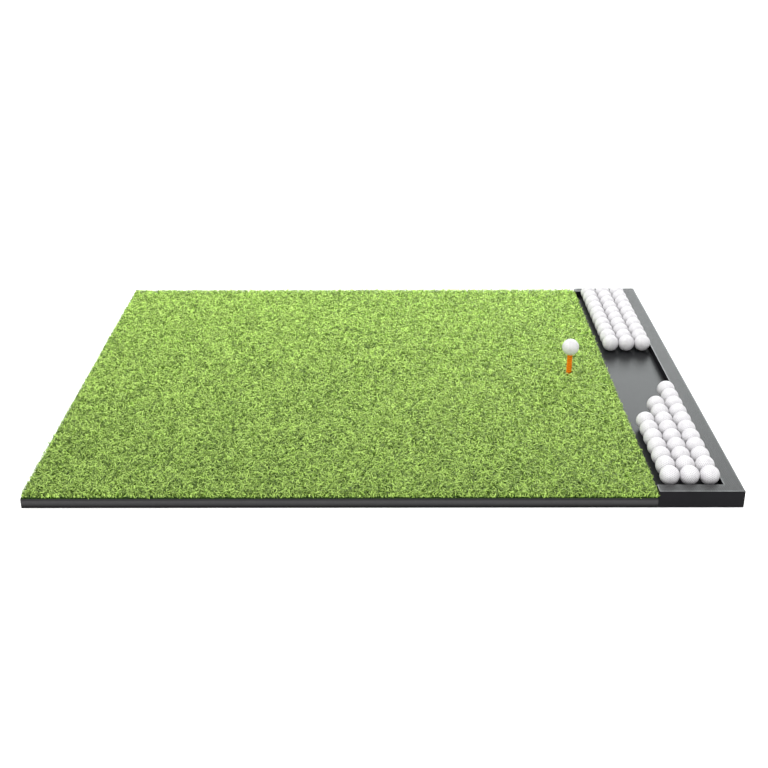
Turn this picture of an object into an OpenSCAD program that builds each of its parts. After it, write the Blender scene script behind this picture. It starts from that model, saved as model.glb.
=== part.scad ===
// Golf hitting mat: layered turf mat, ball tray with two groups of balls, rubber tee with a ball on it.
// Millimetres. X runs across the mat towards the tray, Y runs towards the target, Z is up.
// The origin is at floor level, under the middle of the mat and tray together.

/* [Overall] */
// Mat and tray together, along X
overall_length = 1524; // [1200:1:1800]
// Mat and tray, along Y
overall_depth = 1219; // [1150:1:1300]

/* [Mat layers] */
// Non-slip rubber sheet under the mat
base_thickness = 4; // [4:0.1:4.5]
// Closed-cell foam pad
foam_thickness = 15.5; // [13:0.5:16]
// Coated backing that the pile is tufted into
backing_thickness = 3; // [2:0.1:3.5]
// Pile, up to where its tips begin to thin out
pile_height = 15.5; // [12:0.5:16]

/* [Ball tray] */
// Tray, across its floor and its side rim
tray_width = 180; // [175:1:260]
// Tray, from the floor it lies on to the top of its rims
tray_height = 39; // [34:1:45]
// Recess below the top of the rims
recess_depth = 18; // [8:1:21]
// Side rim, away from the mat
side_rim = 39; // [30:1:42]
// Rim at the front end
front_rim = 29; // [20:1:40]
// Rim at the far end
far_rim = 28; // [20:1:40]
// Seam between the mat and the tray
seam_gap = 0.4; // [0.3:0.1:2]

/* [Golf balls] */
// Standard golf ball
ball_diameter = 42.67; // [42.67:0.01:42.75]
// From ball to ball, both ways
ball_pitch = 42.8; // [42.8:0.1:44]
// Gap between the front rim and the front group
front_gap = 12.5; // [0:0.5:20]
// Balls in the front group's column beside the turf
front_left_count = 7; // [1:1:11]
// Balls in the front group's middle column
front_middle_count = 9; // [1:1:11]
// Balls in the front group's column beside the side rim
front_right_count = 11; // [1:1:11]
// Balls in each column of the far group
far_count = 10; // [1:1:12]

/* [Tee] */
// Middle of the tee, from the mat's edge beside the tray
tee_inset = 103; // [60:1:600]
// Tee's place along Y
tee_y = 0; // [-400:1:400]
// Tee, over its ribs
tee_diameter = 13.6; // [13:0.1:14]
// Top of the tee above the floor
tee_top = 85; // [75:1:110]
// Height of the point where the tee bends
tee_bend_height = 43; // [43:0.5:46]
// Foot disc under the foam
foot_diameter = 50; // [40:1:60]
// Thickness of the foot disc
foot_thickness = 3.5; // [2.5:0.1:3.5]

/* [Hidden] */

mat_length = overall_length - tray_width - seam_gap;
mat_left = -overall_length / 2;
front_edge = -overall_depth / 2;
far_edge = overall_depth / 2;
tray_left = overall_length / 2 - tray_width;
tee_x = tray_left - seam_gap - tee_inset;
foam_bottom = base_thickness;
backing_bottom = foam_bottom + foam_thickness;
pile_bottom = backing_bottom + backing_thickness;

recess_floor = tray_height - recess_depth;
recess_right = overall_length / 2 - side_rim;
recess_front = front_edge + front_rim;
recess_far = far_edge - far_rim;

ball_radius = ball_diameter / 2;
rest_gap = 0.3;
// Half the width of a ball where it passes the top of the rims
ball_height_over_rim = ball_radius + rest_gap - recess_depth;
ball_half_at_rim = sqrt(ball_radius * ball_radius - ball_height_over_rim * ball_height_over_rim);
rim_clearance = 0.4;
first_column = recess_right - ball_half_at_rim - rim_clearance;
first_row = recess_front + ball_half_at_rim + rim_clearance + front_gap;
last_row = recess_far - ball_half_at_rim - rim_clearance;
ball_centre_height = recess_floor + ball_radius + rest_gap;

rib_pitch = 6;
rib_depth = 0.6;
rib_radius = tee_diameter / 2;
post_radius = rib_radius - rib_depth;
rib_count = floor((tee_top - tee_bend_height) / rib_pitch);
tee_bore_radius = 4;
tee_bore_bottom = tee_bend_height + 12;
// The ball rests in a shallow seat whose mouth has this radius
seat_mouth = 5.6;
teed_ball_height = tee_top + sqrt(ball_radius * ball_radius - seat_mouth * seat_mouth) + rest_gap;
foot_top = tee_bend_height - post_radius - rest_gap;
shank_clearance = 0.4;
pile_hole_radius = rib_radius + 0.8;
cut = 1;

// One layer of the mat, with a round hole for the tee
module mat_layer(bottom, thickness, hole_radius) {
    difference() {
        translate([mat_left, front_edge, bottom])
            cube([mat_length, overall_depth, thickness]);
        translate([tee_x, tee_y, bottom - cut])
            cylinder(r = hole_radius, h = thickness + 2 * cut, $fn = 48);
    }
}

// Balls in a row along Y: step is towards the far end for 1 and towards the front for -1
module ball_column(column, first_y, count, step) {
    for (i = [0 : count - 1])
        translate([first_column - column * ball_pitch, first_y + step * i * ball_pitch, ball_centre_height])
            sphere(r = ball_radius, $fn = 64);
}

module base_sheet() {
    color([0.06, 0.06, 0.07])
        mat_layer(0, base_thickness, foot_diameter / 2 + cut);
}

module foam_pad() {
    color([0.30, 0.30, 0.31])
        mat_layer(foam_bottom, foam_thickness, rib_radius + shank_clearance);
}

module turf_backing() {
    color([0.10, 0.10, 0.11])
        mat_layer(backing_bottom, backing_thickness, rib_radius + shank_clearance);
}

module turf_pile() {
    color([0.53, 0.71, 0.30])
        mat_layer(pile_bottom, pile_height, pile_hole_radius);
}

// One moulding: a floor with a rim on three sides, open towards the mat
module ball_tray() {
    color([0.36, 0.37, 0.38])
        difference() {
            translate([tray_left, front_edge, 0])
                cube([tray_width, overall_depth, tray_height]);
            translate([tray_left - cut, recess_front, recess_floor])
                cube([recess_right - tray_left + cut, recess_far - recess_front, recess_depth + cut]);
        }
}

// Lower part of the rubber tee: a disc under the foam and a shank up through the mat
module tee_foot() {
    color([0.90, 0.46, 0.06])
        translate([tee_x, tee_y, 0]) {
            cylinder(r = foot_diameter / 2, h = foot_thickness, $fn = 64);
            cylinder(r = rib_radius, h = foot_top, $fn = 48);
        }
}

// Upper part of the rubber tee: a ribbed tube that ends in a ball seat
module tee_post() {
    ribs = [for (i = [0 : rib_count - 1]) each [
        [post_radius, tee_bend_height + i * rib_pitch],
        [rib_radius, tee_bend_height + (i + 0.35) * rib_pitch],
        [rib_radius, tee_bend_height + (i + 0.65) * rib_pitch]
    ]];
    color([0.95, 0.52, 0.08])
        translate([tee_x, tee_y, 0])
            difference() {
                union() {
                    translate([0, 0, tee_bend_height])
                        sphere(r = post_radius, $fn = 48);
                    rotate_extrude($fn = 48)
                        polygon(concat([[0, tee_bend_height]], ribs, [[post_radius, tee_top], [0, tee_top]]));
                }
                translate([0, 0, tee_bore_bottom])
                    cylinder(r = tee_bore_radius, h = tee_top - tee_bore_bottom + cut, $fn = 48);
                translate([0, 0, teed_ball_height])
                    sphere(r = ball_radius + rest_gap, $fn = 64);
            }
}

module tee_ball() {
    color([0.93, 0.93, 0.94])
        translate([tee_x, tee_y, teed_ball_height])
            sphere(r = ball_radius, $fn = 64);
}

module front_balls_left() {
    color([0.90, 0.90, 0.91])
        ball_column(2, first_row, front_left_count, 1);
}

module front_balls_middle() {
    color([0.92, 0.92, 0.93])
        ball_column(1, first_row, front_middle_count, 1);
}

module front_balls_right() {
    color([0.94, 0.94, 0.95])
        ball_column(0, first_row, front_right_count, 1);
}

module far_balls_left() {
    color([0.90, 0.90, 0.91])
        ball_column(2, last_row, far_count, -1);
}

module far_balls_middle() {
    color([0.92, 0.92, 0.93])
        ball_column(1, last_row, far_count, -1);
}

module far_balls_right() {
    color([0.94, 0.94, 0.95])
        ball_column(0, last_row, far_count, -1);
}

base_sheet();
foam_pad();
turf_backing();
turf_pile();
ball_tray();
tee_foot();
tee_post();
tee_ball();
front_balls_left();
front_balls_middle();
front_balls_right();
far_balls_left();
far_balls_middle();
far_balls_right();
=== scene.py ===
"""Golf hitting mat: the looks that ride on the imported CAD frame.

Metres. +X points towards the ball tray, +Y towards the target, and the floor is at Z = 0.
"""

import math

import bmesh
import bpy
import numpy as np
from mathutils import Euler, Matrix, Vector, kdtree, noise


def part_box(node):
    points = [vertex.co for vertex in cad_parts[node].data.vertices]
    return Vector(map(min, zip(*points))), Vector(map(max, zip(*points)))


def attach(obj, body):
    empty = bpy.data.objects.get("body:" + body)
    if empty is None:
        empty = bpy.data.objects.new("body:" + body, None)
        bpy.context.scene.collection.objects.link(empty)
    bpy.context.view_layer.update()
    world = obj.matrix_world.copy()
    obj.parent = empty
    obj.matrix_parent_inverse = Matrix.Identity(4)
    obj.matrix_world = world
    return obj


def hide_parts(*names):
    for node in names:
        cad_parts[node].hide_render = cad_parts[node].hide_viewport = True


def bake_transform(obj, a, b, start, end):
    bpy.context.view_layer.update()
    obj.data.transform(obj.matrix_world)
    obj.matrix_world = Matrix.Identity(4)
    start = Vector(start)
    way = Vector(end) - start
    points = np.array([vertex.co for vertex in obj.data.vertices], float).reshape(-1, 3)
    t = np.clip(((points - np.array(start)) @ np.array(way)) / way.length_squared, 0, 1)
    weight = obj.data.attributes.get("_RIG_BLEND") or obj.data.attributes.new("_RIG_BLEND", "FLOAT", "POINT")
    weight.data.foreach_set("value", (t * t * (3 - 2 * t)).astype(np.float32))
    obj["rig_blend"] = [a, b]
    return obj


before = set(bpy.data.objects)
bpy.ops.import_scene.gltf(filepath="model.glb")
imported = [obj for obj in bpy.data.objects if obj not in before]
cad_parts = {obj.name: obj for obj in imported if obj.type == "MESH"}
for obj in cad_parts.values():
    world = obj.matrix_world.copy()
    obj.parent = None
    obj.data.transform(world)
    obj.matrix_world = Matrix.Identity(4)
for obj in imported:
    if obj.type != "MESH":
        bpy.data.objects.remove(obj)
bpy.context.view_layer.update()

MM = 0.001

# Places and sizes, all from the CAD frame
BASE_LOW, BASE_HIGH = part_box("base_sheet")
FOAM_LOW, FOAM_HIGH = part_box("foam_pad")
BACK_LOW, BACK_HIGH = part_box("turf_backing")
PILE_LOW, PILE_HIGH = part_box("turf_pile")
TRAY_LOW, TRAY_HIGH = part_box("ball_tray")
POST_LOW, POST_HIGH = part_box("tee_post")
TEED_LOW, TEED_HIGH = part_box("tee_ball")
BALL_RADIUS = (TEED_HIGH.z - TEED_LOW.z) / 2
TEE_X = (POST_LOW.x + POST_HIGH.x) / 2
TEE_Y = (POST_LOW.y + POST_HIGH.y) / 2
TEE_RADIUS = (POST_HIGH.x - POST_LOW.x) / 2
FOOT_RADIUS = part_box("tee_foot")[1].x - TEE_X


# ---------------------------------------------------------------- mesh helpers

def new_object(name, mesh, material):
    """Links a new object that shows this mesh in this material."""
    piece = bpy.data.objects.new(name, mesh)
    bpy.context.scene.collection.objects.link(piece)
    piece.data.materials.append(material)
    return piece


def mesh_from(name, points, faces):
    """A smooth mesh from a list or array of points and a list of faces."""
    mesh = bpy.data.meshes.new(name)
    mesh.from_pydata([tuple(p) for p in points], [], [tuple(f) for f in faces])
    mesh.validate()
    mesh.shade_smooth()
    return mesh


def add_attribute(mesh, name, values):
    """A number for each vertex, for the materials to read."""
    layer = mesh.attributes.new(name, "FLOAT", "POINT")
    layer.data.foreach_set("value", np.asarray(values, np.float32))


# ------------------------------------------------------------ material helpers

class Nodes:
    """A short way to build one material's node tree."""

    def __init__(self, name):
        self.material = bpy.data.materials.new(name)
        self.material.use_nodes = True
        self.tree = self.material.node_tree
        self.shader = self.tree.nodes["Principled BSDF"]

    def add(self, kind, **settings):
        """Adds a node of this kind and sets its properties."""
        node = self.tree.nodes.new(kind)
        for key, value in settings.items():
            setattr(node, key, value)
        return node

    def link(self, source, target):
        """Joins an output socket to an input socket."""
        self.tree.links.new(source, target)

    def set(self, **inputs):
        """Sets the shader's own sockets, with _ for a space in a name."""
        for key, value in inputs.items():
            self.shader.inputs[key.replace("_", " ")].default_value = value

    def position(self):
        """The point on the piece at rest, in metres."""
        return self.add("ShaderNodeTexCoord").outputs["Object"]

    def noise(self, scale, detail=3.0, roughness=0.5):
        """Soft noise from 0 to 1, with scale lumps to the metre."""
        node = self.add("ShaderNodeTexNoise")
        node.inputs["Scale"].default_value = scale
        node.inputs["Detail"].default_value = detail
        node.inputs["Roughness"].default_value = roughness
        self.link(self.position(), node.inputs["Vector"])
        return node.outputs["Fac"]

    def cells(self, scale):
        """The distance from the middle of the nearest cell, with scale cells to the metre."""
        node = self.add("ShaderNodeTexVoronoi", feature="F1")
        node.inputs["Scale"].default_value = scale
        self.link(self.position(), node.inputs["Vector"])
        return node.outputs["Distance"]

    def between(self, axis, low, high):
        """0 where the axis reads low, 1 where it reads high."""
        split = self.add("ShaderNodeSeparateXYZ")
        self.link(self.position(), split.inputs["Vector"])
        node = self.add("ShaderNodeMapRange")
        node.inputs["From Min"].default_value = low
        node.inputs["From Max"].default_value = high
        self.link(split.outputs[axis], node.inputs["Value"])
        return node.outputs["Result"]

    def level(self, low, high):
        """0 at the height low, 1 at the height high."""
        return self.between("Z", low, high)

    def reach(self, low, high):
        """0 at the low end of the mat's depth, 1 at the high end."""
        return self.between("Y", low, high)

    def attribute(self, name):
        """The number that the mesh keeps under this name."""
        return self.add("ShaderNodeAttribute", attribute_name=name).outputs["Fac"]

    def ramp(self, factor, stops):
        """Colours along factor. stops is a list of (place, colour)."""
        node = self.add("ShaderNodeValToRGB")
        elements = node.color_ramp.elements
        while len(elements) < len(stops):
            elements.new(0.5)
        for element, (place, colour) in zip(elements, stops):
            element.position = place
            element.color = (*colour, 1.0)
        self.link(factor, node.inputs["Fac"])
        return node.outputs["Color"]

    def highest(self, a, b):
        """The greater of two values."""
        node = self.add("ShaderNodeMath", operation="MAXIMUM")
        for socket, value in zip(node.inputs, (a, b)):
            self.link(value, socket)
        return node.outputs["Value"]

    def span(self, value, low, high):
        """Maps 0 to 1 onto low to high."""
        node = self.add("ShaderNodeMapRange")
        node.inputs["To Min"].default_value = low
        node.inputs["To Max"].default_value = high
        self.link(value, node.inputs["Value"])
        return node.outputs["Result"]

    def mix(self, factor, a, b, blend_type="MIX"):
        """Mixes two colours. Each argument is a socket or a plain value."""
        node = self.add("ShaderNodeMix", data_type="RGBA", blend_type=blend_type)
        for name, value in (("Factor", factor), ("A", a), ("B", b)):
            sockets = [s for s in node.inputs if s.name == name and s.enabled]
            if isinstance(value, float):
                sockets[0].default_value = value
            elif isinstance(value, tuple):
                sockets[0].default_value = (*value, 1.0)
            else:
                self.link(value, sockets[0])
        return [s for s in node.outputs if s.enabled][0]

    def bump(self, height, strength, distance):
        """Fine relief in the shading, with its depth in metres."""
        node = self.add("ShaderNodeBump")
        node.inputs["Strength"].default_value = strength
        node.inputs["Distance"].default_value = distance
        self.link(height, node.inputs["Height"])
        self.link(node.outputs["Normal"], self.shader.inputs["Normal"])

    def colour(self, socket):
        """Gives the shader its colour."""
        self.link(socket, self.shader.inputs["Base Color"])

    def roughness(self, socket):
        """Gives the shader its roughness."""
        self.link(socket, self.shader.inputs["Roughness"])


# ------------------------------------------------------------------- materials

def blade_material():
    """Turf yarn: yellow-green, each blade a little different, with painted shade darkening each blade
    towards its root and painted light brightening the pile towards its far end.
    """
    n = Nodes("turf_yarn")
    along = n.attribute("along")
    shade = n.attribute("shade")
    # Painted shade: the ramp runs from near-black at the root to the yarn's own yellow-green at the tip.
    root_shaded_tone = n.ramp(along, [(0.0, (0.008, 0.018, 0.003)), (0.26, (0.13, 0.26, 0.026)),
                          (0.5, (0.37, 0.61, 0.093)), (1.0, (0.57, 0.82, 0.18))])
    varied = n.mix(shade, (0.13, 0.17, 0.09), (1.48, 1.42, 1.62))
    blade = n.mix(1.0, root_shaded_tone, varied, "MULTIPLY")
    patches = n.ramp(n.noise(9.0, 4.0, 0.6), [(0.3, (0.96, 0.97, 0.95)), (0.7, (1.03, 1.02, 1.03))])
    patched = n.mix(1.0, blade, patches, "MULTIPLY")
    # Painted light: the pile is darker at the front and lighter towards the far end.
    painted_far_light = n.mix(n.reach(PILE_LOW.y, PILE_HIGH.y), (0.76, 0.77, 0.72), (1.14, 1.13, 1.13))
    n.colour(n.mix(1.0, patched, painted_far_light, "MULTIPLY"))
    n.set(Roughness=0.5, Specular_IOR_Level=0.3)
    return n.material


def thatch_material():
    """The tangle between the blades' roots, coloured near-black as painted shade."""
    n = Nodes("turf_thatch")
    # Painted shade: a near-black green for the shadowed roots.
    n.colour(n.ramp(n.noise(420.0, 4.0), [(0.3, (0.008, 0.020, 0.004)), (0.7, (0.035, 0.075, 0.012))]))
    n.set(Roughness=0.9, Specular_IOR_Level=0.1)
    return n.material


def backing_material():
    """Black coated cloth, with the coating's faint grain."""
    n = Nodes("backing_coat")
    n.colour(n.ramp(n.noise(900.0), [(0.3, (0.006, 0.006, 0.007)), (0.7, (0.014, 0.014, 0.015))]))
    n.set(Roughness=0.8)
    n.bump(n.noise(1500.0), 0.3, 0.0003)
    return n.material


def foam_material():
    """Closed-cell foam, cut at the edge so that its cells show, with painted shading: lightest in its upper
    middle, darker towards its bottom and top.
    """
    n = Nodes("pad_foam")
    cells = n.cells(650.0)
    mottled = n.mix(n.noise(40.0), (0.041, 0.040, 0.042), (0.051, 0.050, 0.052))
    celled = n.mix(n.span(cells, 0.0, 0.5), mottled, (0.062, 0.061, 0.063))
    level = n.level(FOAM_LOW.z, FOAM_HIGH.z)
    # Painted shading up the foam's edge: darkest at the bottom, lightest in the upper middle, darker again
    # at the top.
    painted_edge_shading = n.ramp(level, [(0.0, (0.20, 0.20, 0.21)), (0.16, (0.36, 0.36, 0.36)),
                           (0.32, (0.70, 0.70, 0.70)), (0.64, (1.0, 1.0, 1.0)),
                           (0.82, (1.0, 1.0, 1.0)), (1.0, (0.5, 0.5, 0.5))])
    n.colour(n.mix(1.0, celled, painted_edge_shading, "MULTIPLY"))
    n.set(Roughness=0.85, Specular_IOR_Level=0.2)
    n.bump(cells, 0.5, 0.0005)
    return n.material


def base_material():
    """Black non-slip rubber, nearly black up most of its height as a painted contact shadow."""
    n = Nodes("base_rubber")
    rubber = n.ramp(n.noise(160.0, 5.0), [(0.3, (0.016, 0.016, 0.017)), (0.7, (0.026, 0.026, 0.027))])
    # Painted contact shadow: nearly black up to 70% of the sheet's height, its own colour only near the top.
    painted_contact_shadow = n.ramp(n.level(BASE_LOW.z, BASE_HIGH.z), [(0.7, (0.08, 0.08, 0.08)), (0.95, (1.0, 1.0, 1.0))])
    n.colour(n.mix(1.0, rubber, painted_contact_shadow, "MULTIPLY"))
    n.roughness(n.span(n.noise(300.0), 0.6, 0.85))
    n.set(Specular_IOR_Level=0.1)
    n.bump(n.noise(1200.0), 0.25, 0.0003)
    return n.material


def tray_top_material():
    """The rims' moulded rubber, satin under a grey bloom, with painted shade darkening the knurling's
    hollows.
    """
    n = Nodes("tray_top_rubber")
    bloom = n.mix(n.noise(14.0, 5.0, 0.6), (0.022, 0.0235, 0.024), (0.030, 0.0315, 0.0325))
    dip = n.attribute("dip")
    # Painted shade down in the knurling's hollows.
    painted_groove_shade = n.ramp(dip, [(0.45, (1, 1, 1)), (0.75, (0.3, 0.3, 0.3))])
    n.colour(n.mix(1.0, bloom, painted_groove_shade, "MULTIPLY"))
    worn = n.span(n.noise(60.0, 6.0, 0.7), 0.30, 0.38)
    dull = n.ramp(dip, [(0.45, (0, 0, 0)), (0.75, (0.85, 0.85, 0.85))])
    n.roughness(n.highest(worn, dull))
    n.set(Specular_IOR_Level=0.72)
    n.bump(n.noise(1400.0, 2.0), 0.15, 0.0002)
    return n.material


def tray_floor_material():
    """The recess's plain floor, duller than the rims and darker in colour as painted shade."""
    n = Nodes("tray_floor_rubber")
    # Painted shade: the floor is the rims' rubber made darker in colour.
    n.colour(n.mix(n.noise(14.0, 5.0, 0.6), (0.012, 0.013, 0.0135), (0.018, 0.019, 0.020)))
    n.roughness(n.span(n.noise(60.0, 6.0, 0.7), 0.35, 0.41))
    n.set(Specular_IOR_Level=0.17)
    n.bump(n.noise(1400.0, 2.0), 0.15, 0.0002)
    return n.material


def tray_side_material():
    """Moulded rubber's walls, dull, darkened to nearly black as painted shade."""
    n = Nodes("tray_side_rubber")
    # Painted shade: the walls are the rims' rubber made darker in colour.
    n.colour(n.mix(n.noise(14.0, 5.0, 0.6), (0.006, 0.006, 0.007), (0.010, 0.0095, 0.0115)))
    n.roughness(n.span(n.noise(60.0, 6.0, 0.7), 0.6, 0.75))
    n.set(Specular_IOR_Level=0.1)
    n.bump(n.noise(1400.0, 2.0), 0.15, 0.0002)
    return n.material


def tee_material():
    """Orange rubber, slightly scuffed, with painted shade darkening the hollows between its ribs."""
    n = Nodes("tee_rubber")
    scuffs = n.noise(260.0, 6.0, 0.7)
    rubber = n.mix(scuffs, (0.93, 0.21, 0.0005), (0.97, 0.27, 0.001))
    # Painted shade in the hollows between the ribs.
    painted_valley_shade = n.ramp(n.attribute("dip"), [(0.2, (1, 1, 1)), (0.9, (0.5, 0.4, 0.4))])
    n.colour(n.mix(1.0, rubber, painted_valley_shade, "MULTIPLY"))
    n.roughness(n.span(scuffs, 0.45, 0.6))
    n.set(Specular_IOR_Level=0.15)
    n.bump(n.noise(900.0), 0.15, 0.0002)
    return n.material


def ball_material():
    """White moulded cover under clear lacquer, with painted shade greying the dimples a little."""
    n = Nodes("ball_cover")
    cover = n.mix(n.noise(70.0, 4.0), (0.79, 0.78, 0.79), (0.83, 0.82, 0.83))
    # Painted shade: the dimples' hollows are greyed.
    dips = n.ramp(n.attribute("dip"), [(0.1, (1, 1, 1)), (0.9, (0.6, 0.59, 0.61))])
    n.colour(n.mix(1.0, cover, dips, "MULTIPLY"))
    n.roughness(n.span(n.noise(130.0, 3.0), 0.30, 0.42))
    n.set(Coat_Weight=0.3, Coat_Roughness=0.12)
    return n.material


# ----------------------------------------------------------------- mat layers

LAYER_CORNER = 0.5 * MM
LAYER_STEP = 10 * MM
HOLE_SIDES = 48
# Room round the tee's foot in the base, and round its shank in the layers above
FOOT_ROOM = 1 * MM
SHANK_ROOM = 0.4 * MM
# How many wanders of a cut side there are to the metre, along it and up it
WANDER_ALONG = 22
WANDER_UP = 30
# Edges folded more than this many degrees stay sharp
LAYER_SHARP = 60


def rectangle(low, high, corner, step):
    """Points round a rectangle with round corners, each with the direction outwards there."""
    inner = [(high.x - corner, high.y - corner), (low.x + corner, high.y - corner),
             (low.x + corner, low.y + corner), (high.x - corner, low.y + corner)]
    rim = []
    for index, (x, y) in enumerate(inner):
        for turn in (0, 30, 60, 90):
            angle = math.radians(90 * index + turn)
            out = Vector((math.cos(angle), math.sin(angle)))
            rim.append((Vector((x, y)) + corner * out, out))
        ahead = Vector(inner[(index + 1) % 4]) + corner * out
        start = rim[-1][0]
        pieces = max(1, int((ahead - start).length / step))
        rim += [(start.lerp(ahead, k / pieces), out) for k in range(1, pieces)]
    return rim


def fill_between(shape, outer, inner):
    """Fills the flat face between two loops of vertices."""
    edges = []
    for loop in (outer, inner):
        for k, vert in enumerate(loop):
            pair = (vert, loop[(k + 1) % len(loop)])
            edges.append(shape.edges.get(pair) or shape.edges.new(pair))
    bmesh.ops.triangle_fill(shape, use_beauty=True, use_dissolve=False, edges=edges)


def side_rings(shape, low, high, soft, wave, bulge):
    """Rings of vertices up a layer's sides, with soft edges, which wander inwards by up to wave."""
    halfway = 0.3 * soft
    levels = [(soft, low.z), (halfway, low.z + halfway), (0.0, low.z + soft),
              (-bulge, (low.z + high.z) / 2),
              (0.0, high.z - soft), (halfway, high.z - halfway), (soft, high.z)]
    rim = rectangle(low, high, LAYER_CORNER, LAYER_STEP)
    rings = []
    for inset, z in levels:
        ring = []
        for point, out in rim:
            spot = Vector((point.x * WANDER_ALONG, point.y * WANDER_ALONG, z * WANDER_UP))
            wander = wave * (0.5 + 0.5 * noise.noise(spot))
            place = point - (inset + wander) * out
            ring.append(shape.verts.new((place.x, place.y, z)))
        rings.append(ring)
    return rings


def slab(name, low, high, material, hole, soft, wave, bulge=0.0):
    """A flat layer with a round hole for the tee. soft rounds its edges, and bulge swells its sides."""
    shape = bmesh.new()
    rings = side_rings(shape, low, high, soft, wave, bulge)
    turns = [2 * math.pi * k / HOLE_SIDES for k in range(HOLE_SIDES)]
    holes = [[shape.verts.new((TEE_X + hole * math.cos(a), TEE_Y + hole * math.sin(a), z)) for a in turns]
             for z in (low.z, high.z)]
    for lower, upper in list(zip(rings, rings[1:])) + [tuple(reversed(holes))]:
        for k in range(len(lower)):
            after = (k + 1) % len(lower)
            shape.faces.new((lower[k], lower[after], upper[after], upper[k]))
    fill_between(shape, rings[0], holes[0])
    fill_between(shape, rings[-1], holes[1])
    bmesh.ops.recalc_face_normals(shape, faces=shape.faces)
    mesh = bpy.data.meshes.new(name)
    shape.to_mesh(mesh)
    shape.free()
    mesh.shade_smooth()
    mesh.set_sharp_from_angle(angle=math.radians(LAYER_SHARP))
    return new_object(name, mesh, material)


def make_layers():
    """The base sheet, the foam pad and the turf's backing."""
    base = slab("base_rubber_sheet", BASE_LOW, BASE_HIGH, base_material(), FOOT_RADIUS + FOOT_ROOM,
                soft=0.3 * MM, wave=0.2 * MM)
    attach(base, "mat")
    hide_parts("base_sheet")
    foam = slab("foam_pad_layer", FOAM_LOW, FOAM_HIGH, foam_material(), TEE_RADIUS + SHANK_ROOM,
                soft=0.5 * MM, wave=0.3 * MM, bulge=0.2 * MM)
    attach(foam, "mat")
    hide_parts("foam_pad")
    backing = slab("turf_backing_cloth", BACK_LOW, BACK_HIGH, backing_material(), TEE_RADIUS + SHANK_ROOM,
                   soft=0.5 * MM, wave=0.8 * MM)
    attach(backing, "mat")
    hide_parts("turf_backing")


# ----------------------------------------------------------------------- turf

STRIPS = 12
BLADES_PER_M2 = 150_000
BLADE_WIDTH = 1.5 * MM
# As shares of that width
BLADE_WIDTHS = (0.75, 1.2)
LONGEST_BLADE = 32 * MM
# How much narrower a blade would be at its tip than at its root, if it didn't end in a point
BLADE_TAPER = 0.2
# Where along a blade its pairs of points are
BLADE_STEPS = (0.0, 0.34, 0.64, 0.92)
# How high blades stand, as shares of the pile's height, and how they lean, curl and turn, in degrees
BLADE_HEIGHTS = (0.72, 1.04)
LEAN = (0, 25)
CURL = (40, 130)
SWIRL_SPREAD = 75
TWIST_SPREAD = 25
# How the blades' tones are shared out between dark and light, as a beta distribution
SHADE_SHARES = (0.6, 0.5)
TEE_CLEARANCE = 0.6 * MM

# The extra blades along the mat's edges, which make its fringe
EDGE_BLADES_PER_M = 1100
EDGE_INSET = 2.5 * MM
EDGE_BLADE_LENGTH = 11.5 * MM
# As shares of that length
EDGE_LENGTHS = (0.7, 1.25)
EDGE_LEAN = (5, 55)
EDGE_CURL = (-20, 110)
EDGE_SWIRL_SPREAD = 60
# In radians, about straight outwards
EDGE_HEADING_SPREAD = 0.7
# The fringe is lit down to its roots, so its colour starts part of the way up a blade's
FRINGE_TONE = 0.4
# How high above the backing a fringe blade hangs at least
FRINGE_RISE = (1.0 * MM, 4.5 * MM)

# Where the shears keep the pile: inside the left and right edges, and inside the front and far edges
SHORN_SIDES = (5.5 * MM, 2.5 * MM)
SHORN_ENDS = (0.5 * MM, 1.5 * MM)
# Most blades keep little of what hangs past that outline, and a few keep most of it, up to a limit
STRAY_SHARE = 0.08
STRAY_KEEPS = 0.8
SHORN_KEEPS = 0.15
STRAY = 6 * MM

# The tangle at the blades' roots
ROOT_HEIGHT = 5 * MM
THATCH_STEP = 6 * MM
THATCH_INSET = 0.5 * MM
THATCH_LUMPS = 180


def blade_points(root, heading, lean, curl, swirl, twist, length, width):
    """Points of bent blades: a pair across the blade at each step, then the tip.

    Each argument is an array with one value for each blade, with its angles in radians.
    """
    count = len(root)
    steps = len(BLADE_STEPS)
    points = np.zeros((count, 2 * steps + 1, 3))
    along = np.zeros((count, 2 * steps + 1))
    centre = root.copy()
    for step, t in enumerate(BLADE_STEPS):
        angle = lean + curl * t
        turn = heading + swirl * t
        flat = np.stack([np.cos(turn), np.sin(turn), np.zeros(count)], 1)
        tangent = flat * np.sin(angle)[:, None]
        tangent[:, 2] = np.cos(angle)
        side = np.stack([-np.sin(turn), np.cos(turn), np.zeros(count)], 1)
        face = np.cross(tangent, side)
        half = width * 0.5 * (1 - BLADE_TAPER * t ** 2)
        across = (side * np.cos(twist)[:, None] + face * np.sin(twist)[:, None]) * half[:, None]
        points[:, 2 * step] = centre - across
        points[:, 2 * step + 1] = centre + across
        along[:, 2 * step:2 * step + 2] = t
        ahead = (BLADE_STEPS[1:] + (1.0,))[step] - t
        centre = centre + tangent * (length * ahead)[:, None]
    points[:, 2 * steps] = centre
    along[:, 2 * steps] = 1
    return points, along


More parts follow.
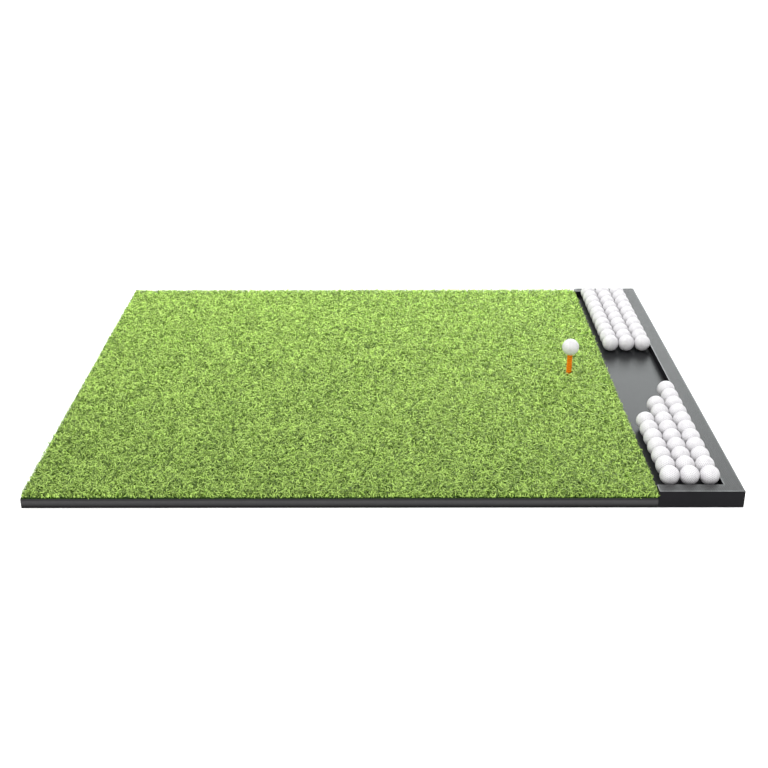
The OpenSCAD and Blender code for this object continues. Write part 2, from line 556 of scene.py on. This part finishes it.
def blade_mesh(name, points, along, shade):
    """One mesh of all these blades: quads up each blade and a triangle at its tip."""
    count, per_blade = along.shape
    quads = (per_blade - 3) // 2
    corners = []
    starts = []
    for k in range(quads):
        starts.append(len(corners))
        corners += [2 * k, 2 * k + 1, 2 * k + 3, 2 * k + 2]
    starts.append(len(corners))
    corners += [2 * quads, 2 * quads + 1, 2 * quads + 2]
    first = np.arange(count)[:, None] * per_blade
    loops = (first + np.array(corners)).ravel()
    mesh = bpy.data.meshes.new(name)
    mesh.vertices.add(count * per_blade)
    mesh.vertices.foreach_set("co", points.reshape(-1))
    mesh.loops.add(len(loops))
    mesh.loops.foreach_set("vertex_index", loops.astype(np.int32))
    mesh.polygons.add(count * (quads + 1))
    begins = (np.arange(count)[:, None] * len(corners) + np.array(starts)).ravel()
    mesh.polygons.foreach_set("loop_start", begins.astype(np.int32))
    mesh.update(calc_edges=True)
    mesh.shade_smooth()
    add_attribute(mesh, "along", along.ravel())
    add_attribute(mesh, "shade", np.repeat(shade, per_blade))
    return mesh


def stand(lean, curl):
    """How high a blade of length 1 stands."""
    steps = zip(BLADE_STEPS, BLADE_STEPS[1:] + (1.0,))
    rises = [np.cos(lean + curl * t) * (ahead - t) for t, ahead in steps]
    return np.max(np.cumsum(rises, axis=0), axis=0)


def field_blades(left, right, rng):
    """Places and bends of the blades that stand between left and right, on a jittered grid."""
    depth = PILE_HIGH.y - PILE_LOW.y
    pitch = 1 / math.sqrt(BLADES_PER_M2)
    columns = round((right - left) / pitch)
    rows = round(depth / pitch)
    i, j = np.meshgrid(np.arange(columns), np.arange(rows))
    count = i.size
    x = left + (right - left) * (i.ravel() + rng.uniform(0, 1, count)) / columns
    y = PILE_LOW.y + depth * (j.ravel() + rng.uniform(0, 1, count)) / rows
    clear = np.hypot(x - TEE_X, y - TEE_Y) > TEE_RADIUS + TEE_CLEARANCE
    root = np.stack([x, y, np.full(count, PILE_LOW.z)], 1)[clear]
    count = len(root)
    lean = np.radians(rng.uniform(*LEAN, count))
    curl = np.radians(rng.uniform(*CURL, count))
    height = (PILE_HIGH.z - PILE_LOW.z) * rng.uniform(*BLADE_HEIGHTS, count)
    return {"root": root,
            "heading": rng.uniform(0, 2 * math.pi, count),
            "lean": lean,
            "curl": curl,
            "swirl": np.radians(rng.normal(0, SWIRL_SPREAD, count)),
            "twist": np.radians(rng.normal(0, TWIST_SPREAD, count)),
            "length": np.minimum(height / stand(lean, curl), LONGEST_BLADE),
            "width": BLADE_WIDTH * rng.uniform(*BLADE_WIDTHS, count)}


def edge_blades(left, right, rng):
    """Extra blades along the mat's edges, which spill outwards over the backing's edge."""
    depth = PILE_HIGH.y - PILE_LOW.y
    sides = [(PILE_LOW.y, 0, -1), (PILE_HIGH.y, 0, 1)]
    sides += [(edge, way, 0) for edge, way in ((PILE_LOW.x, -1), (PILE_HIGH.x, 1))
              if left - 1 * MM < edge < right + 1 * MM]
    roots = []
    headings = []
    for edge, way_x, way_y in sides:
        span = right - left if way_y else depth
        count = int(span * EDGE_BLADES_PER_M)
        inward = edge - (way_x + way_y) * rng.uniform(0, EDGE_INSET, count)
        along = (left if way_y else PILE_LOW.y) + span * rng.uniform(0, 1, count)
        x, y = (along, inward) if way_y else (inward, along)
        roots.append(np.stack([x, y, PILE_LOW.z + rng.uniform(0, ROOT_HEIGHT, count)], 1))
        headings.append(math.atan2(way_y, way_x) + rng.normal(0, EDGE_HEADING_SPREAD, count))
    root = np.concatenate(roots)
    count = len(root)
    return {"root": root,
            "heading": np.concatenate(headings),
            "lean": np.radians(rng.uniform(*EDGE_LEAN, count)),
            "curl": np.radians(rng.uniform(*EDGE_CURL, count)),
            "swirl": np.radians(rng.normal(0, EDGE_SWIRL_SPREAD, count)),
            "twist": np.radians(rng.normal(0, TWIST_SPREAD, count)),
            "length": EDGE_BLADE_LENGTH * rng.uniform(*EDGE_LENGTHS, count),
            "width": BLADE_WIDTH * rng.uniform(*BLADE_WIDTHS, count)}


def shorn(points, rng):
    """Gathers in what hangs over the mat's edges, apart from a few strays, and lifts what sinks too low."""
    keeps = np.where(rng.uniform(0, 1, len(points)) < STRAY_SHARE, STRAY_KEEPS, SHORN_KEEPS)[:, None]
    for axis, insets in ((0, SHORN_SIDES), (1, SHORN_ENDS)):
        place = points[:, :, axis]
        held = np.clip(place, PILE_LOW[axis] + insets[0], PILE_HIGH[axis] - insets[1])
        points[:, :, axis] = held + np.clip((place - held) * keeps, -STRAY, STRAY)
    lowest = PILE_LOW.z + rng.uniform(*FRINGE_RISE, len(points))
    points[:, :, 2] = np.maximum(points[:, :, 2], lowest[:, None])


def turf_strip(name, left, right, rng, material):
    """A strip of turf from left to right, full depth."""
    field = field_blades(left, right, rng)
    edge = edge_blades(left, right, rng)
    blades = {key: np.concatenate([field[key], edge[key]]) for key in field}
    points, along = blade_points(**blades)
    fringe = slice(len(field["root"]), None)
    along[fringe] = FRINGE_TONE + (1 - FRINGE_TONE) * along[fringe]
    shorn(points, rng)
    mesh = blade_mesh(name, points, along, rng.beta(*SHADE_SHARES, len(points)))
    return new_object(name, mesh, material)


def make_turf():
    """The whole pile, in strips that keep each mesh to a size the export takes as it is."""
    rng = np.random.default_rng(11)
    material = blade_material()
    edges = np.linspace(PILE_LOW.x, PILE_HIGH.x, STRIPS + 1)
    for k in range(STRIPS):
        strip = turf_strip(f"turf_strip_{k + 1}", edges[k], edges[k + 1], rng, material)
        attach(strip, "mat")
        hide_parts("turf_pile")


def make_thatch():
    """The tangle at the blades' roots, as one bumpy skin on the backing."""
    width = PILE_HIGH.x - PILE_LOW.x
    depth = PILE_HIGH.y - PILE_LOW.y
    columns = int(width / THATCH_STEP)
    rows = int(depth / THATCH_STEP)
    points = []
    for j in range(rows + 1):
        y = PILE_LOW.y + THATCH_INSET + (depth - 2 * THATCH_INSET) * j / rows
        for i in range(columns + 1):
            x = PILE_LOW.x + THATCH_INSET + (width - 2 * THATCH_INSET) * i / columns
            rim = i in (0, columns) or j in (0, rows)
            lump = noise.noise(Vector((x * THATCH_LUMPS, y * THATCH_LUMPS, 0)))
            rise = 0.0 if rim else ROOT_HEIGHT * (0.75 + 0.25 * lump)
            points.append((x, y, PILE_LOW.z + rise))
    faces = []
    for j in range(rows):
        for i in range(columns):
            a = j * (columns + 1) + i
            faces.append((a, a + 1, a + columns + 2, a + columns + 1))
    thatch = new_object("turf_thatch", mesh_from("turf_thatch", points, faces), thatch_material())
    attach(thatch, "mat")
    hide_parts("turf_pile")


# ----------------------------------------------------------------------- tray

# The side of a knurl's square, its depth, and the plain border round the knurling
KNURL = 2.4 * MM
KNURL_HEIGHT = 0.18 * MM
BORDER = 0.3 * MM
EDGE_RADIUS = 0.3 * MM
# A face looks up if the Z of its normal is above this
UPWARD = 0.985
# Edges folded more than this many degrees stay sharp, so that each knurl keeps its facets
TRAY_SHARP = 8
# The order of the tray's materials
RIM_TOP, WALL, WELL_FLOOR = 0, 1, 2


def tray_lines():
    """The height of the recess's floor, and its wall's X and ends' Ys, from the CAD solid's corners."""
    corners = [v.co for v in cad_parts["ball_tray"].data.vertices]
    floor = min(c.z for c in corners if c.z > TRAY_LOW.z + 1 * MM)
    inside = [c for c in corners if floor - 1 * MM < c.z < floor + 1 * MM]
    wall = max(c.x for c in inside)
    front = min(c.y for c in inside)
    far = max(c.y for c in inside)
    return floor, wall, front, far


def tray_body():
    """The moulded tray with a recess that is open towards the mat, as a bmesh with soft edges."""
    floor, wall, front, far = tray_lines()
    left, right, near, back = TRAY_LOW.x, TRAY_HIGH.x, TRAY_LOW.y, TRAY_HIGH.y
    shape = bmesh.new()
    shape.verts.layers.float.new("dip")

    def verts(places, z):
        """New vertices at these places, all at the height z."""
        return [shape.verts.new((x, y, z)) for x, y in places]

    bottom = verts([(left, near), (right, near), (right, back), (left, back)], TRAY_LOW.z)
    rim = verts([(left, near), (right, near), (right, back), (left, back), (left, far), (wall, far),
                 (wall, front), (left, front)], TRAY_HIGH.z)
    well = verts([(left, far), (wall, far), (wall, front), (left, front)], floor)
    shape.faces.new(reversed(bottom))
    shape.faces.new(rim)
    shape.faces.new(reversed(well))
    for k in range(3):
        shape.faces.new((bottom[k], bottom[k + 1], rim[k + 1], rim[k]))
        shape.faces.new((rim[4 + k], rim[5 + k], well[1 + k], well[k]))
    shape.faces.new((bottom[3], bottom[0], rim[0], rim[7], well[3], well[0], rim[4], rim[3]))
    bmesh.ops.recalc_face_normals(shape, faces=shape.faces)
    bmesh.ops.bevel(shape, geom=list(shape.edges), offset=EDGE_RADIUS, segments=3, profile=0.5,
                    affect="EDGES", clamp_overlap=True)
    return shape


def knurl_lines(places):
    """Grid lines about a knurl apart from place to place, and which line falls on each place."""
    lines = [places[0]]
    marks = [0]
    for low, high in zip(places, places[1:]):
        count = max(1, round((high - low) / KNURL))
        lines += [low + (high - low) * (k + 1) / count for k in range(count)]
        marks.append(len(lines) - 1)
    return lines, marks


def rim_face(shape):
    """The flat top of the three rims: the largest of the faces that look up at the top."""
    upward = [f for f in shape.faces if f.normal.z > UPWARD]
    highest = [f for f in upward if f.calc_center_median().z > TRAY_HIGH.z - 0.1 * MM]
    return max(highest, key=lambda f: f.calc_area())


def knurl_grid(shape, xs, ys, cells):
    """Vertices at the corners of the cells, pushed down at every second corner inside the grid."""
    dips = shape.verts.layers.float["dip"]
    inside = set(cells)
    grid = {}
    for i, j in cells:
        for a, b in ((i, j), (i + 1, j), (i + 1, j + 1), (i, j + 1)):
            if (a, b) not in grid:
                around = [(a - 1, b - 1), (a, b - 1), (a - 1, b), (a, b)]
                inner = all(cell in inside for cell in around)
                dip = 1.0 if inner and (a + b) % 2 else 0.0
                grid[a, b] = shape.verts.new((xs[a], ys[b], TRAY_HIGH.z - dip * KNURL_HEIGHT))
                grid[a, b][dips] = dip
    return grid


def knurled_rim(shape):
    """Cuts the rims' flat top into low pyramids, inside a plain border."""
    _, wall, front, far = tray_lines()
    top = rim_face(shape)
    outer = list(top.verts)
    shape.faces.remove(top)
    inset = EDGE_RADIUS + BORDER
    xs, x_marks = knurl_lines([TRAY_LOW.x + inset, wall + inset, TRAY_HIGH.x - inset])
    ys, y_marks = knurl_lines([TRAY_LOW.y + inset, front - inset, far + inset, TRAY_HIGH.y - inset])
    cells = [(i, j) for i in range(len(xs) - 1) for j in range(len(ys) - 1)
             if i >= x_marks[1] or j < y_marks[1] or j >= y_marks[2]]
    grid = knurl_grid(shape, xs, ys, cells)
    for i, j in cells:
        a, b, c, d = grid[i, j], grid[i + 1, j], grid[i + 1, j + 1], grid[i, j + 1]
        if (i + j) % 2:
            shape.faces.new((a, b, c))
            shape.faces.new((a, c, d))
        else:
            shape.faces.new((a, b, d))
            shape.faces.new((b, c, d))
    x0, x1, x2 = x_marks
    y0, y1, y2, y3 = y_marks
    turns = [(x0, y0), (x2, y0), (x2, y3), (x0, y3), (x0, y2), (x1, y2), (x1, y1), (x0, y1)]
    border = []
    for (a, b), (c, d) in zip(turns, turns[1:] + turns[:1]):
        steps = max(abs(c - a), abs(d - b))
        border += [grid[a + (c - a) * k // steps, b + (d - b) * k // steps] for k in range(steps)]
    fill_between(shape, outer, border)


def make_tray():
    """The moulded tray, with a material each for its rims, its walls and its floor."""
    shape = tray_body()
    knurled_rim(shape)
    bmesh.ops.recalc_face_normals(shape, faces=shape.faces)
    mesh = bpy.data.meshes.new("moulded_tray")
    shape.to_mesh(mesh)
    shape.free()
    mesh.shade_smooth()
    mesh.set_sharp_from_angle(angle=math.radians(TRAY_SHARP))
    tray = new_object("moulded_tray", mesh, tray_top_material())
    mesh.materials.append(tray_side_material())
    mesh.materials.append(tray_floor_material())
    for face in mesh.polygons:
        flat = RIM_TOP if face.center.z > TRAY_HIGH.z - 2 * MM else WELL_FLOOR
        face.material_index = flat if face.normal.z > UPWARD else WALL
    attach(tray, "tray")
    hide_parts("ball_tray")


# ---------------------------------------------------------------------- balls

# Dimples along an edge of the icosahedron that they are laid out on, and mesh steps to each of them
DIMPLE_ROWS = 6
STEPS_PER_ROW = 5
DIMPLE_RADIUS = 1.95 * MM
DIMPLE_DEPTH = 0.5 * MM
# Corners of the icosahedron are neighbours if they are less than this many sides apart
NEIGHBOUR = 1.01


def icosahedron():
    """Corners and faces of an icosahedron on the unit sphere."""
    golden = (1 + math.sqrt(5)) / 2
    corners = []
    for a in (-1, 1):
        for b in (-golden, golden):
            corners += [Vector((0, a, b)), Vector((a, b, 0)), Vector((b, 0, a))]
    corners = [c.normalized() for c in corners]
    side = min((c - corners[0]).length for c in corners[1:])
    near = [[(a - b).length < side * NEIGHBOUR and a != b for b in corners] for a in corners]
    count = len(corners)
    faces = []
    for i in range(count):
        for j in range(i + 1, count):
            for k in range(j + 1, count):
                if near[i][j] and near[j][k] and near[i][k]:
                    outward = (corners[j] - corners[i]).cross(corners[k] - corners[i]).dot(corners[i]) > 0
                    faces.append((i, j, k) if outward else (i, k, j))
    return corners, faces


def geodesic(parts):
    """Points and triangles of the unit sphere, each edge of an icosahedron cut into parts."""
    corners, faces = icosahedron()
    found = {}
    points = []
    triangles = []

    def index_of(point):
        """The point's number, and a new one if it isn't there yet."""
        key = tuple(round(v, 6) for v in point)
        if key not in found:
            found[key] = len(points)
            points.append(point)
        return found[key]

    for a, b, c in faces:
        grid = {}
        for i in range(parts + 1):
            for j in range(parts + 1 - i):
                mixed = corners[a] * (parts - i - j) + corners[b] * i + corners[c] * j
                grid[i, j] = index_of(mixed.normalized())
        for i in range(parts):
            for j in range(parts - i):
                triangles.append((grid[i, j], grid[i + 1, j], grid[i, j + 1]))
                if i + j < parts - 1:
                    triangles.append((grid[i + 1, j], grid[i + 1, j + 1], grid[i, j + 1]))
    return points, triangles


def dimpled_ball():
    """Points, triangles and dips of a golf ball at the origin.

    It has a round dimple at each point of a coarser net than its own.
    """
    centres, _ = geodesic(DIMPLE_ROWS)
    tree = kdtree.KDTree(len(centres))
    for k, centre in enumerate(centres):
        tree.insert(centre, k)
    tree.balance()
    net, triangles = geodesic(DIMPLE_ROWS * STEPS_PER_ROW)
    points = []
    dips = []
    for point in net:
        away = tree.find(point)[2] * BALL_RADIUS / DIMPLE_RADIUS
        dip = max(0.0, 1 - away ** 2)
        points.append(point * (BALL_RADIUS - DIMPLE_DEPTH * dip))
        dips.append(dip)
    return np.array([tuple(p) for p in points]), np.array(triangles), np.array(dips)


def balls_at(name, centres, ball, rng, material):
    """One mesh with a ball at each centre, each turned its own way."""
    shape, triangles, dips = ball
    points = []
    faces = []
    for k, centre in enumerate(centres):
        turn = np.array(Euler(rng.uniform(0, 2 * math.pi, 3)).to_matrix())
        points.append(shape @ turn.T + np.array(centre))
        faces.append(triangles + k * len(shape))
    mesh = mesh_from(name, np.concatenate(points), np.concatenate(faces).tolist())
    add_attribute(mesh, "dip", np.tile(dips, len(centres)))
    return new_object(name, mesh, material)


def column_centres(node):
    """Centres of the balls in a CAD column of balls, from its box."""
    low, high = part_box(node)
    span = high.y - low.y - 2 * BALL_RADIUS
    gaps = round(span / (2 * BALL_RADIUS))
    pitch = span / max(1, gaps)
    x = (low.x + high.x) / 2
    return [(x, low.y + BALL_RADIUS + k * pitch, low.z + BALL_RADIUS) for k in range(gaps + 1)]


def make_balls():
    """The two groups of balls in the tray, a mesh for each column, and the ball on the tee."""
    rng = np.random.default_rng(5)
    material = ball_material()
    ball = dimpled_ball()
    for body in ("front_balls", "far_balls"):
        for side in ("left", "middle", "right"):
            node = f"{body}_{side}"
            column = balls_at(f"{node}_dimpled", column_centres(node), ball, rng, material)
            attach(column, body)
            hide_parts(node)
    centre = (TEE_X, TEE_Y, (TEED_LOW.z + TEED_HIGH.z) / 2)
    teed = balls_at("teed_ball_dimpled", [centre], ball, rng, material)
    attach(teed, "teed_ball")
    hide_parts("tee_ball")


# ------------------------------------------------------------------------ tee

# The disc under the foam, a little lower than the base sheet's top
FOOT_SINK = 0.5 * MM
FOOT_EDGE = 1 * MM
SHANK_FILLET = 1.5 * MM
RIB_PITCH = 6 * MM
RIB_DEPTH = 1.2 * MM
RIB_SOFT = 0.1 * MM
VALLEY_RADIUS = TEE_RADIUS - RIB_DEPTH
TUBE_BORE = 4 * MM
# The seat's rings, and the gap between it and the ball
SEAT_RADII = (5.3 * MM, 4.6 * MM, TUBE_BORE)
SEAT_GAP = 0.3 * MM
SEAT_DEPTH = 8 * MM
# Rings down the bore's wall, so that it bends along with the outside
BORE_RINGS = 36
TEE_SIDES = 64
# Edges folded more than this many degrees stay sharp
TEE_SHARP = 55
# The tee bends from this far above the backing to this far above the pile
BEND_FROM = 8 * MM
BEND_TO = 24 * MM


def foot_profile():
    """Radius and height up the outside of the disc under the foam, to its shank."""
    top = BASE_HIGH.z - FOOT_SINK
    return [(0.0, 0.0), (FOOT_RADIUS - FOOT_EDGE, 0.0), (FOOT_RADIUS, FOOT_EDGE),
            (FOOT_RADIUS, top - FOOT_EDGE), (FOOT_RADIUS - FOOT_EDGE, top),
            (TEE_RADIUS + SHANK_FILLET, top), (TEE_RADIUS, top + SHANK_FILLET)]


def rib_profile():
    """Up the outside of the ribbed tube, to the rim of its seat."""
    top = POST_HIGH.z
    ribs = int((top - PILE_LOW.z) / RIB_PITCH)
    first = top - ribs * RIB_PITCH
    profile = []
    for k in range(ribs):
        z = first + k * RIB_PITCH
        profile += [(VALLEY_RADIUS, z),
                    (TEE_RADIUS - RIB_SOFT, z + 0.26 * RIB_PITCH), (TEE_RADIUS, z + 0.4 * RIB_PITCH),
                    (TEE_RADIUS, z + 0.6 * RIB_PITCH), (TEE_RADIUS - RIB_SOFT, z + 0.74 * RIB_PITCH)]
    return profile + [(VALLEY_RADIUS, top - 0.6 * MM), (VALLEY_RADIUS - 0.4 * MM, top - 0.1 * MM)]


def bore_profile():
    """Down the seat that the ball rests in and the wall of the bore, to its closed end."""
    centre = (TEED_LOW.z + TEED_HIGH.z) / 2
    seat = BALL_RADIUS + SEAT_GAP
    profile = [(r, centre - math.sqrt(seat ** 2 - r ** 2)) for r in SEAT_RADII]
    bore = TUBE_BORE - 0.1 * MM
    high = POST_HIGH.z - SEAT_DEPTH
    profile += [(bore, high + (PILE_LOW.z - high) * k / BORE_RINGS) for k in range(BORE_RINGS + 1)]
    return profile + [(0.0, PILE_LOW.z)]


def make_tee():
    """The ribbed rubber tee in one piece, from its foot under the foam to its seat."""
    profile = foot_profile() + rib_profile() + bore_profile()
    points = [(TEE_X, TEE_Y, profile[0][1])]
    for radius, z in profile[1:-1]:
        for k in range(TEE_SIDES):
            angle = 2 * math.pi * k / TEE_SIDES
            points.append((TEE_X + radius * math.cos(angle), TEE_Y + radius * math.sin(angle), z))
    points.append((TEE_X, TEE_Y, profile[-1][1]))
    last = len(points) - 1
    last_ring = last - TEE_SIDES
    faces = []
    for k in range(TEE_SIDES):
        after = (k + 1) % TEE_SIDES
        faces.append((0, 1 + after, 1 + k))
        for start in range(1, last_ring, TEE_SIDES):
            a = start + k
            b = start + after
            faces.append((a, b, b + TEE_SIDES, a + TEE_SIDES))
        faces.append((last_ring + k, last_ring + after, last))
    mesh = mesh_from("ribbed_tee", points, faces)
    away = [math.hypot(x - TEE_X, y - TEE_Y) for x, y, z in points]
    add_attribute(mesh, "dip", [1.0 if abs(radius - VALLEY_RADIUS) < 0.01 * MM else 0.0 for radius in away])
    mesh.set_sharp_from_angle(angle=math.radians(TEE_SHARP))
    tee = new_object("ribbed_tee", mesh, tee_material())
    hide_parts("tee_foot", "tee_post")
    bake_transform(tee, "mat", "tee", start=(TEE_X, TEE_Y, PILE_LOW.z + BEND_FROM),
             end=(TEE_X, TEE_Y, PILE_HIGH.z + BEND_TO))


# ---------------------------------------------------------------------- stage

# The lens is in mm, the camera's place in metres and its angles in degrees. It stands CAMERA_BACK in front
# of the mat's front edge, and CAMERA_ASIDE to the right of the middle.
LENS = 53.871
CAMERA_BACK = 2.0842
CAMERA_HEIGHT = 1.2669
CAMERA_ASIDE = 0.0138
CAMERA_TILT = 25.141
CAMERA_TURN = 0.236
CAMERA_ROLL = -0.188
WORLD_STRENGTH = 0.95
FLOOR_HALF = 12.0
FLOOR_GAP = 0.05 * MM


def make_camera():
    """Standing in front of the mat, looking towards the target and down at it."""
    camera = bpy.data.cameras.new("camera")
    camera.lens = LENS
    holder = bpy.data.objects.new("camera", camera)
    bpy.context.scene.collection.objects.link(holder)
    holder.location = (CAMERA_ASIDE, BASE_LOW.y - CAMERA_BACK, CAMERA_HEIGHT)
    turn = Matrix.Rotation(math.radians(CAMERA_TURN), 3, "Z")
    tilt = Matrix.Rotation(math.radians(90 - CAMERA_TILT), 3, "X")
    roll = Matrix.Rotation(math.radians(CAMERA_ROLL), 3, "Z")
    holder.rotation_euler = (turn @ tilt @ roll).to_euler()
    bpy.context.scene.camera = holder


def add_light(name, kind, place, aim, power):
    """A light at place that shines at aim. power is in W, or in W/m2 for a sun."""
    light = bpy.data.lights.new(name, kind)
    light.energy = power
    holder = bpy.data.objects.new(name, light)
    bpy.context.scene.collection.objects.link(holder)
    holder.location = place
    holder.rotation_euler = (Vector(aim) - Vector(place)).to_track_quat("-Z", "Y").to_euler()
    return light


def make_lights():
    """A bright even studio, a soft key and fill from the left, and a softbox behind for the gloss."""
    world = bpy.data.worlds.new("studio")
    world.use_nodes = True
    background = world.node_tree.nodes["Background"]
    background.inputs["Color"].default_value = (1, 1, 1, 1)
    background.inputs["Strength"].default_value = WORLD_STRENGTH
    bpy.context.scene.world = world
    key = add_light("key", "SUN", (-0.9, 0.35, 2.2), (0, 0, 0), 1.2)
    key.angle = math.radians(14)
    fill = add_light("fill", "SUN", (-0.6, -1.6, 1.1), (0, 0, 0), 0.6)
    fill.angle = math.radians(50)
    softbox = add_light("softbox", "AREA", (1.5, 3.0, 1.5), (0.6, 0, 0), 40)
    softbox.color = (0.95, 1.0, 1.0)
    softbox.shape = "RECTANGLE"
    softbox.size = 1.8
    softbox.size_y = 1.5


def make_stage():
    """A plain white floor, just under the mat."""
    floor_material = Nodes("floor")
    floor_material.set(Base_Color=(0.95, 0.95, 0.95, 1), Roughness=0.9, Specular_IOR_Level=0.1,
                       Emission_Color=(1, 1, 1, 1), Emission_Strength=0.5)
    below = BASE_LOW.z - FLOOR_GAP
    corners = [(x * FLOOR_HALF, y * FLOOR_HALF, below) for x, y in ((-1, -1), (1, -1), (1, 1), (-1, 1))]
    floor = new_object("floor", mesh_from("floor", corners, [(0, 1, 2, 3)]), floor_material.material)
    bpy.context.scene.view_settings.view_transform = "Standard"


make_camera()
make_lights()
make_stage()
make_layers()
make_thatch()
make_turf()
make_tray()
make_balls()
make_tee()
